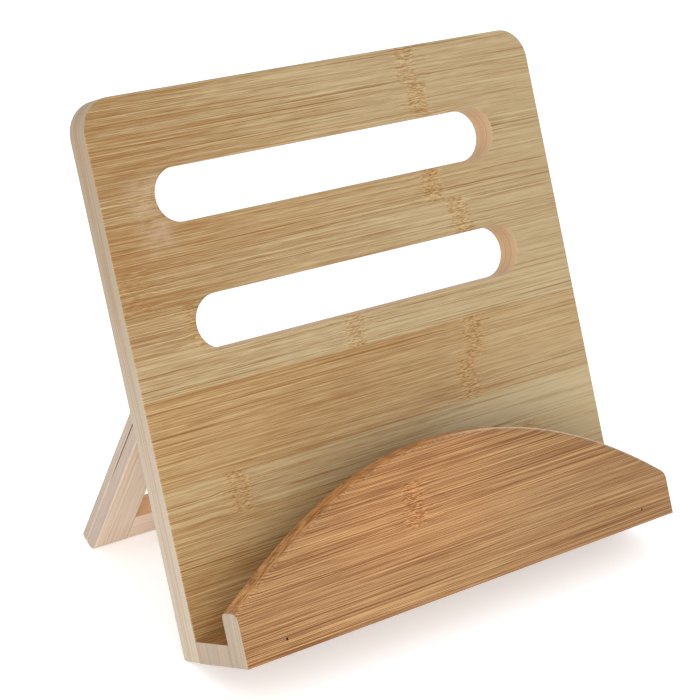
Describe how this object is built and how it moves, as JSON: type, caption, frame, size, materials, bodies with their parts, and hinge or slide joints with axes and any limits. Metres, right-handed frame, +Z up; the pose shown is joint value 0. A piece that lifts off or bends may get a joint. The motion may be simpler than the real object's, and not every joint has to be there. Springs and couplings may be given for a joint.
{
  "type": "photo album stand",
  "caption": "Folding bamboo stand for a photo album or open book: slotted leaning board, ledge with an arched front lip, and a hinged frame leg behind.",
  "frame": {"origin": "on the table, under the middle of the open stand's box", "axes": "+X to the right along the ledge, +Y from the lip towards the leg, +Z up"},
  "size_m": [0.25, 0.1532, 0.2229],
  "materials": {
    "bamboo_board": "satin",
    "bamboo_ledge": "satin",
    "bamboo_lip": "satin",
    "bamboo_leg": "satin",
    "dowel_wood": "matte",
    "hinge_brass": "satin",
    "screw_steel": "satin",
    "brad_steel": "dark"
  },
  "bodies": {
    "stand": {"back_panel": "bamboo_board", "album_ledge": "bamboo_ledge", "front_lip": "bamboo_lip", "lip_brads": "brad_steel", "ledge_screws": "screw_steel", "hinge_left_panel_leaf": "hinge_brass", "hinge_left_pin": "hinge_brass", "hinge_right_panel_leaf": "hinge_brass", "hinge_right_pin": "hinge_brass", "panel_hinge_screws": "screw_steel"},
    "leg": {"leg_left_stile_front_ply": "bamboo_leg", "leg_left_stile_rear_ply": "bamboo_leg", "leg_right_stile_front_ply": "bamboo_leg", "leg_right_stile_rear_ply": "bamboo_leg", "leg_bottom_rail": "bamboo_leg", "leg_top_rail": "bamboo_leg", "bottom_rail_dowels": "dowel_wood", "top_rail_dowels": "dowel_wood", "hinge_left_leg_leaf": "hinge_brass", "hinge_right_leg_leaf": "hinge_brass", "leg_hinge_screws": "screw_steel"}
  },
  "joints": [
    {"name": "leg_fold", "type": "hinge", "parent": "stand", "child": "leg", "pos_m": [0, 0.02011, 0.09861], "axis": [1, 0, 0], "range_deg": [-50.5, 0]}
  ]
}
